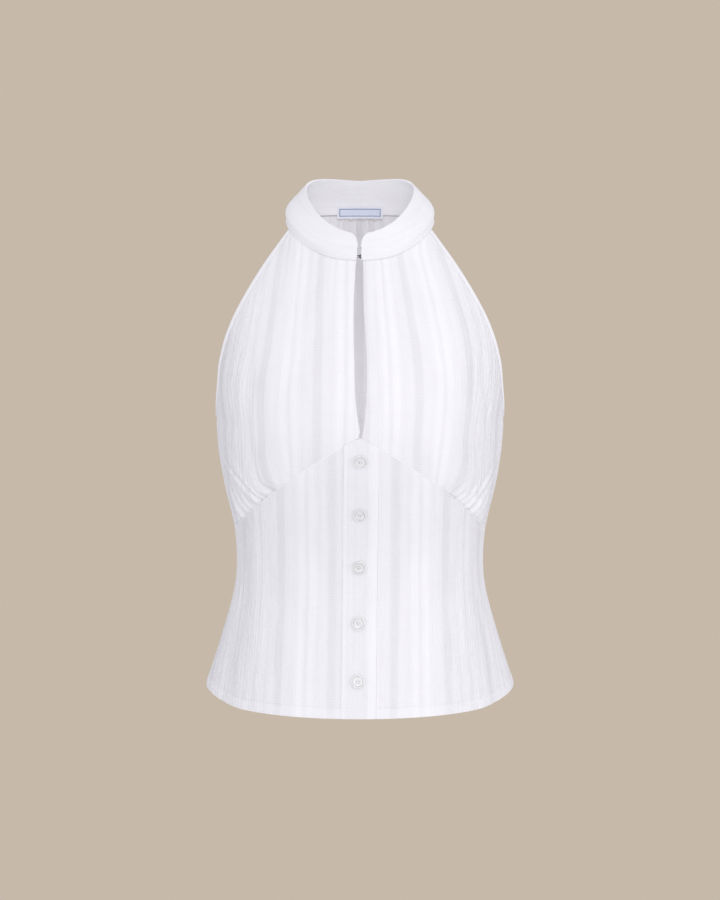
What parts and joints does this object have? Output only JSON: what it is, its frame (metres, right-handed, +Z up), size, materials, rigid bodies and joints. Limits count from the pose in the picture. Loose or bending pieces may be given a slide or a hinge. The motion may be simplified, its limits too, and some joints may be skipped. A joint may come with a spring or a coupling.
{
  "type": "sleeveless top",
  "caption": "Sleeveless halter top of woven cotton with a stand collar, a slit down the chest, a gathered pointed seam under the bust and a button band to a flared hem.",
  "frame": {"origin": "in the middle of the neck, level with the collar's seam at the nape, where the wearer's neck and collar line hold the top up", "axes": "+Z up, -Y the way the front faces, +X towards the wearer's left"},
  "size_m": [0.315, 0.2343, 0.5126],
  "materials": {
    "striped_cotton": "white woven cotton with fine white stripes",
    "pearl_button": "pearly polished button",
    "hook_steel": "dark wire",
    "label_weave": "pale blue woven tape, blank"
  },
  "bodies": {
    "root": {"collar": "striped_cotton", "upper_front_left": "striped_cotton", "upper_front_right": "striped_cotton", "lower_front_left": "striped_cotton", "lower_front_right": "striped_cotton", "button_band": "striped_cotton", "upper_back": "striped_cotton", "lower_back": "striped_cotton", "armhole_binding_left": "striped_cotton", "armhole_binding_right": "striped_cotton", "button_1": "pearl_button", "button_2": "pearl_button", "button_3": "pearl_button", "button_4": "pearl_button", "button_5": "pearl_button", "collar_hook": "hook_steel", "collar_eye": "hook_steel", "neck_label": "label_weave"}
  },
  "joints": []
}
